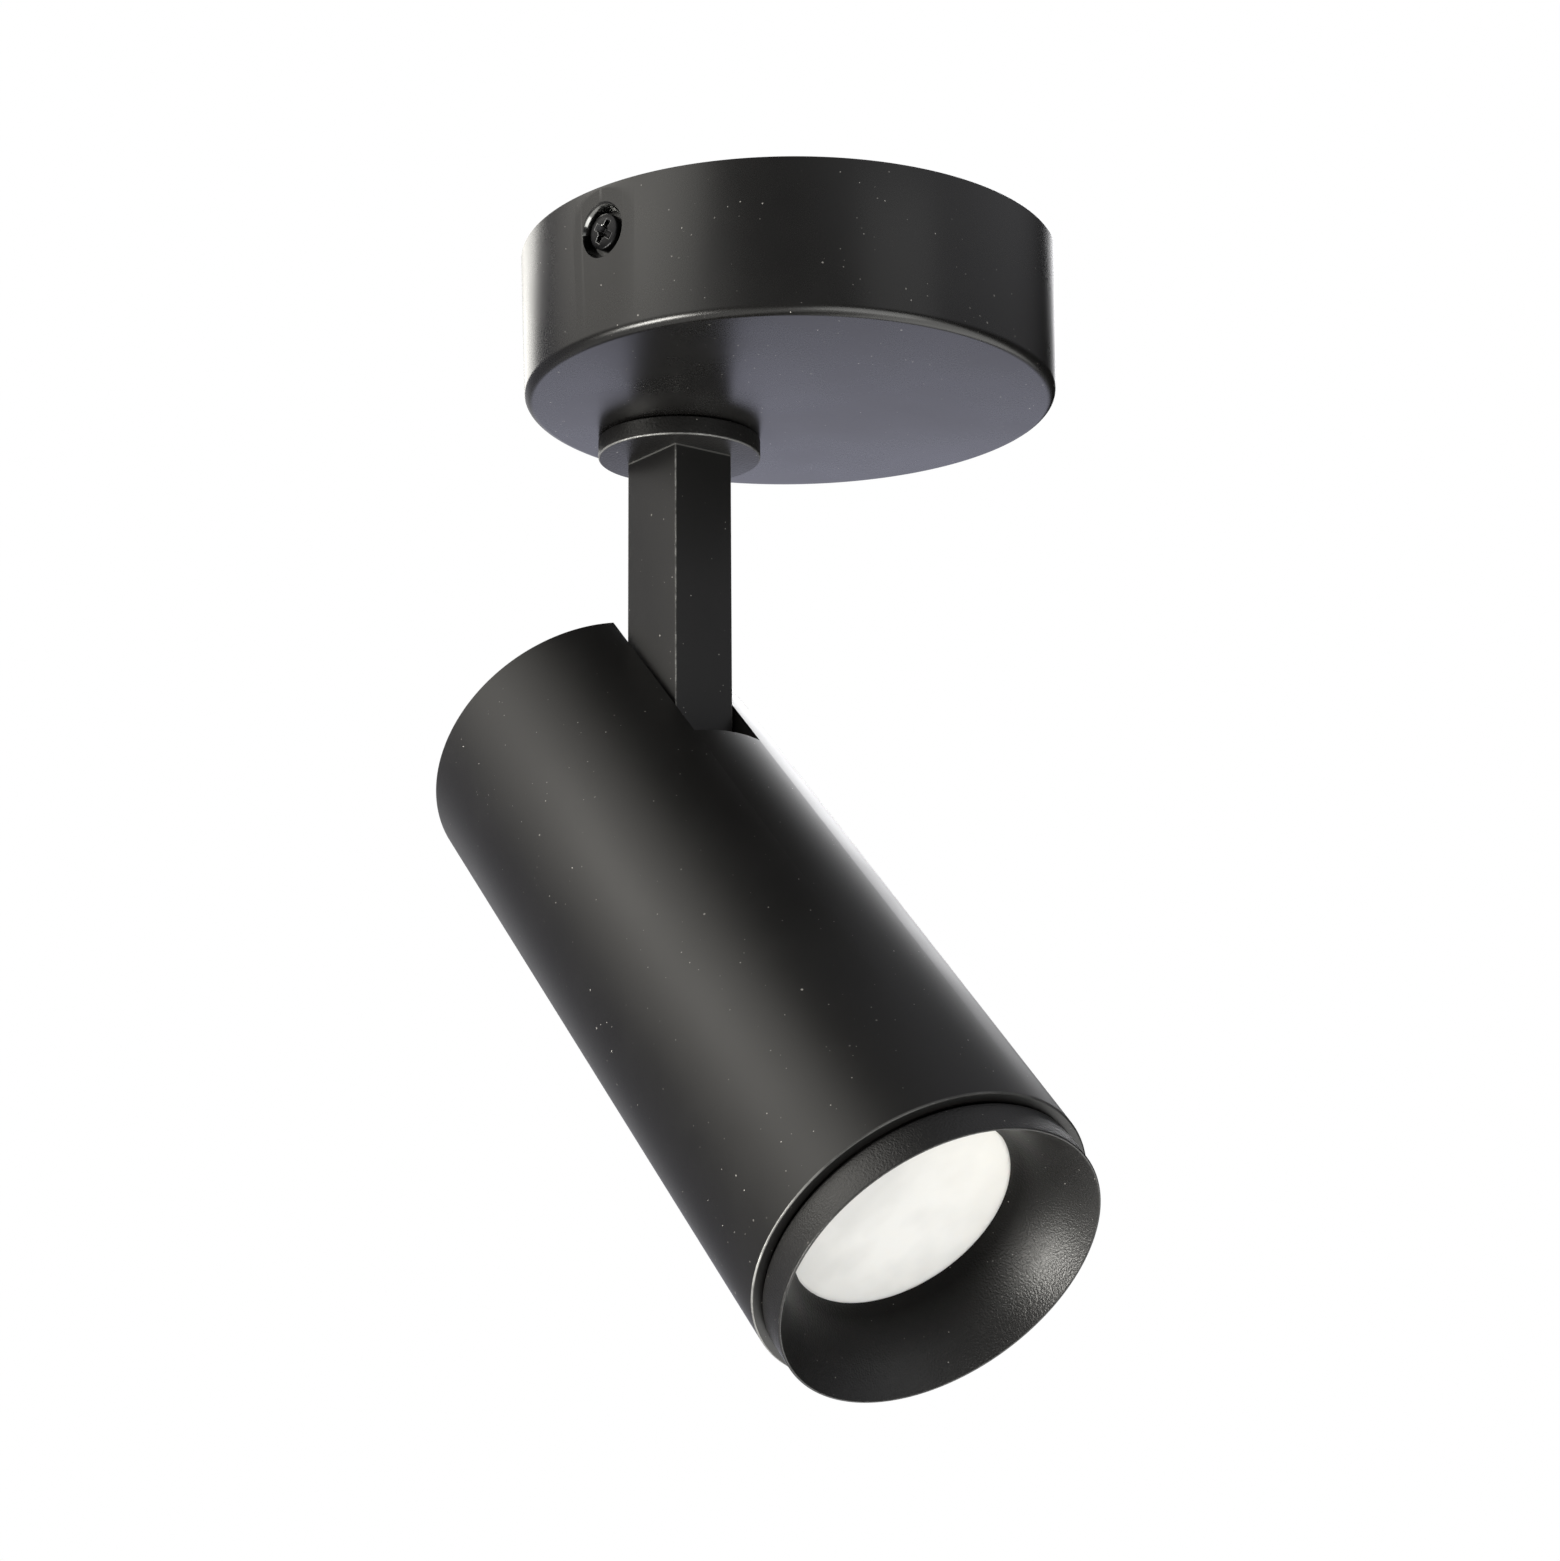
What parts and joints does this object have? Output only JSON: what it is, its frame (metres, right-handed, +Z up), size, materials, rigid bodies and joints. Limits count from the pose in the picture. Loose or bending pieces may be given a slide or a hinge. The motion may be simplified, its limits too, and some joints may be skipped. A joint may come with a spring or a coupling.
{
  "type": "surface mounted ceiling spotlight",
  "caption": "Matt black ceiling spotlight: round canopy, square bar on an off-centre swivel, and a slotted tube head that tilts, with a deep conical bezel and a frosted lens.",
  "frame": {"origin": "centre of the canopy's ceiling face, which is also the middle of the bracket's two slots", "axes": "+Z up into the ceiling; Y along the bracket, through the two slots and the two side screws; the swivel axis stands at -X and the head points about to +X"},
  "size_m": [0.1474, 0.1, 0.2096],
  "materials": {
    "black_coat": "matte",
    "black_satin_coat": "satin",
    "black_zinc": "satin",
    "zinc_steel": "satin",
    "brass": "satin",
    "black_plastic": "matte",
    "circuit_board": "satin",
    "white_nylon": "matte",
    "lead_sheath": "matte",
    "brown_sheath": "matte",
    "bare_aluminium": "satin",
    "bright_aluminium": "polished",
    "thermal_silicone": "matte",
    "phosphor": "matte",
    "black_rubber": "matte",
    "frosted_lens": "matte"
  },
  "bodies": {
    "canopy_body": {"mounting_bracket": "zinc_steel", "bracket_nuts": "zinc_steel", "earth_screw": "brass", "canopy": "black_coat", "canopy_screws": "black_zinc", "driver_case": "black_plastic", "driver_lid": "black_plastic", "driver_board": "circuit_board", "terminal_block": "white_nylon", "terminal_screws": "brass", "floor_screws": "zinc_steel", "supply_leads": "brown_sheath", "canopy_lead": "lead_sheath", "swivel_stop_pin": "zinc_steel"},
    "arm_body": {"collar_washer": "white_nylon", "swivel_collar": "black_coat", "swivel_nipple": "zinc_steel", "inner_washer": "white_nylon", "stop_washer": "zinc_steel", "disc_spring": "zinc_steel", "swivel_nut": "zinc_steel", "arm": "black_coat", "arm_lead": "lead_sheath", "pivot_screw": "zinc_steel", "pivot_bush": "brass", "hinge_washers": "white_nylon"},
    "head_body": {"hinge_bracket": "zinc_steel", "hinge_bracket_screws": "zinc_steel", "head_tube": "black_coat", "rear_cap": "black_coat", "rear_cap_screws": "black_zinc", "heat_sink": "bare_aluminium", "thermal_pad": "thermal_silicone", "led_board": "bare_aluminium", "led_emitter": "phosphor", "led_holder": "white_nylon", "led_holder_screws": "zinc_steel", "reflector": "bright_aluminium", "lens_gasket": "black_rubber", "lens": "frosted_lens", "bezel": "black_satin_coat", "head_lead": "lead_sheath"}
  },
  "joints": [
    {"name": "swivel", "type": "hinge", "parent": "canopy_body", "child": "arm_body", "pos_m": [-0.0283, 0, -0.028], "axis": [0, 0, 1], "range_deg": [-153.43, 176.57]},
    {"name": "tilt", "type": "hinge", "parent": "arm_body", "child": "head_body", "pos_m": [-0.0283, 0, -0.0925], "axis": [-0.2006, -0.9797, 0], "range_deg": [-45.63, 44.37]}
  ]
}
